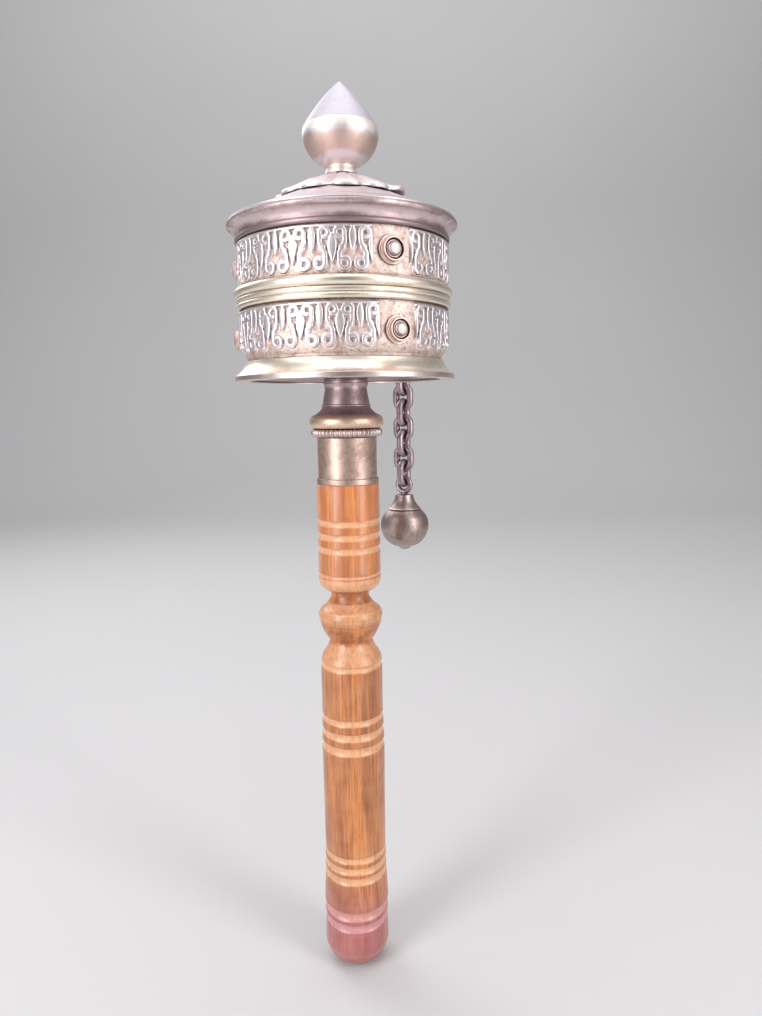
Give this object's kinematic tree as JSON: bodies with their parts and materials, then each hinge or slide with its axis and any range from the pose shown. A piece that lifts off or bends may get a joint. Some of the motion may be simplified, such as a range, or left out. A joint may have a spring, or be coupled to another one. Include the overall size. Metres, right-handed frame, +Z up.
{
  "type": "hand prayer wheel",
  "caption": "Hand prayer wheel: turned wooden handle, relief-banded metal drum that spins on a spindle, lift-off lid under a lotus-bud finial, and a weight on a chain.",
  "frame": {"origin": "centre of the flat on the handle's butt", "axes": "+Z up along the handle and the spindle to the finial's tip; -Y is the front of the drum; the chain hangs behind it, 29.5 degrees from +Y towards +X"},
  "size_m": [0.0616, 0.0681, 0.2506],
  "materials": {
    "turned_wood": "glossy varnish",
    "ferrule_silver": "silver-washed, worn",
    "pale_brass": "satin, scratched",
    "steel_rod": "turned",
    "bush_brass": "turned",
    "aged_copper": "dull, patinated",
    "relief_silver": "silver-washed, satin",
    "bezel_silver": "silver-washed, patinated",
    "white_stone": "polished",
    "scroll_paper": "matte",
    "scroll_cloth": "woven",
    "cornice_silver": "silver-washed, worn",
    "roof_silver": "silver-washed, brushed",
    "finial_silver": "polished",
    "chain_metal": "dull",
    "weight_metal": "satin, dull"
  },
  "bodies": {
    "handle": {"handle_grip": "turned_wood", "ferrule_tube": "ferrule_silver", "ferrule_bead_ring": "ferrule_silver", "ferrule_collar": "pale_brass", "neck_cup": "ferrule_silver", "thrust_washer": "ferrule_silver", "spindle": "steel_rod"},
    "drum": {"base_plate": "aged_copper", "lower_bushing": "bush_brass", "base_ring": "pale_brass", "drum_wall": "aged_copper", "middle_band": "pale_brass", "upper_frieze_1": "relief_silver", "upper_frieze_2": "relief_silver", "upper_frieze_3": "relief_silver", "lower_frieze_1": "relief_silver", "lower_frieze_2": "relief_silver", "lower_frieze_3": "relief_silver", "upper_bezel_1": "bezel_silver", "upper_bezel_2": "bezel_silver", "upper_bezel_3": "bezel_silver", "lower_bezel_1": "bezel_silver", "lower_bezel_2": "bezel_silver", "lower_bezel_3": "bezel_silver", "upper_stone_1": "white_stone", "upper_stone_2": "white_stone", "upper_stone_3": "white_stone", "lower_stone_1": "white_stone", "lower_stone_2": "white_stone", "lower_stone_3": "white_stone", "scroll_core": "scroll_paper", "prayer_scroll": "scroll_paper", "scroll_wrap": "scroll_cloth", "scroll_ribbon": "scroll_cloth", "staple_plate": "bezel_silver", "chain_staple": "chain_metal"},
    "lid": {"cap_cornice": "cornice_silver", "cap_roof": "roof_silver", "petal_collar": "roof_silver", "upper_bushing": "bush_brass"},
    "finial": {"finial_bulb": "finial_silver", "finial_cone": "finial_silver", "finial_nut": "steel_rod"},
    "link_1": {"chain_link_1": "chain_metal"},
    "link_2": {"chain_link_2": "chain_metal"},
    "link_3": {"chain_link_3": "chain_metal"},
    "link_4": {"chain_link_4": "chain_metal"},
    "link_5": {"chain_link_5": "chain_metal"},
    "link_6": {"chain_link_6": "chain_metal"},
    "link_7": {"chain_link_7": "chain_metal"},
    "link_8": {"chain_link_8": "chain_metal"},
    "link_9": {"chain_link_9": "chain_metal"},
    "link_10": {"chain_link_10": "chain_metal"},
    "weight": {"weight_eye": "weight_metal", "weight_cap": "weight_metal", "weight_bead": "weight_metal", "weight_button": "weight_metal"}
  },
  "joints": [
    {"name": "drum_spin", "type": "hinge", "parent": "handle", "child": "drum", "pos_m": [0, 0, 0.1734], "axis": [0, 0, 1], "continuous": true},
    {"name": "finial_lift", "type": "slide", "parent": "handle", "child": "finial", "axis": [0, 0, 1], "range_m": [0, 0.04]},
    {"name": "lid_lift", "type": "slide", "parent": "drum", "child": "lid", "axis": [0, 0, 1], "range_m": [0, 0.03]},
    {"name": "link_1_swing", "type": "hinge", "parent": "drum", "child": "link_1", "pos_m": [0.01674, 0.02959, 0.1916], "axis": [0.8704, -0.4924, 0], "range_deg": [0, 95]},
    {"name": "link_2_swing", "type": "hinge", "parent": "link_1", "child": "link_2", "pos_m": [0.01674, 0.02959, 0.1868], "axis": [0.4924, 0.8704, 0], "range_deg": [-40, 40]},
    {"name": "link_3_swing", "type": "hinge", "parent": "link_2", "child": "link_3", "pos_m": [0.01674, 0.02959, 0.182], "axis": [0.8704, -0.4924, 0], "range_deg": [0, 50]},
    {"name": "link_4_swing", "type": "hinge", "parent": "link_3", "child": "link_4", "pos_m": [0.01674, 0.02959, 0.1772], "axis": [-0.4924, -0.8704, 0], "range_deg": [-40, 40]},
    {"name": "link_5_swing", "type": "hinge", "parent": "link_4", "child": "link_5", "pos_m": [0.01674, 0.02959, 0.1724], "axis": [0.8704, -0.4924, 0], "range_deg": [-20, 35]},
    {"name": "link_6_swing", "type": "hinge", "parent": "link_5", "child": "link_6", "pos_m": [0.01674, 0.02959, 0.1676], "axis": [0.4924, 0.8704, 0], "range_deg": [-40, 40]},
    {"name": "link_7_swing", "type": "hinge", "parent": "link_6", "child": "link_7", "pos_m": [0.01674, 0.02959, 0.1628], "axis": [-0.8704, 0.4924, 0], "range_deg": [-35, 26]},
    {"name": "link_8_swing", "type": "hinge", "parent": "link_7", "child": "link_8", "pos_m": [0.01674, 0.02959, 0.158], "axis": [-0.4924, -0.8704, 0], "range_deg": [-40, 40]},
    {"name": "link_9_swing", "type": "hinge", "parent": "link_8", "child": "link_9", "pos_m": [0.01674, 0.02959, 0.1532], "axis": [0.8704, -0.4924, 0], "range_deg": [-36, 40]},
    {"name": "link_10_swing", "type": "hinge", "parent": "link_9", "child": "link_10", "pos_m": [0.01674, 0.02959, 0.1484], "axis": [0.4924, 0.8704, 0], "range_deg": [-40, 40]},
    {"name": "weight_swing", "type": "hinge", "parent": "link_10", "child": "weight", "pos_m": [0.01674, 0.02959, 0.14335], "axis": [-0.8704, 0.4924, 0], "range_deg": [-45, 45]}
  ],
  "couplings": [
    {"joint": "lid_lift", "follows": "finial_lift", "ratio": 0.75}
  ]
}
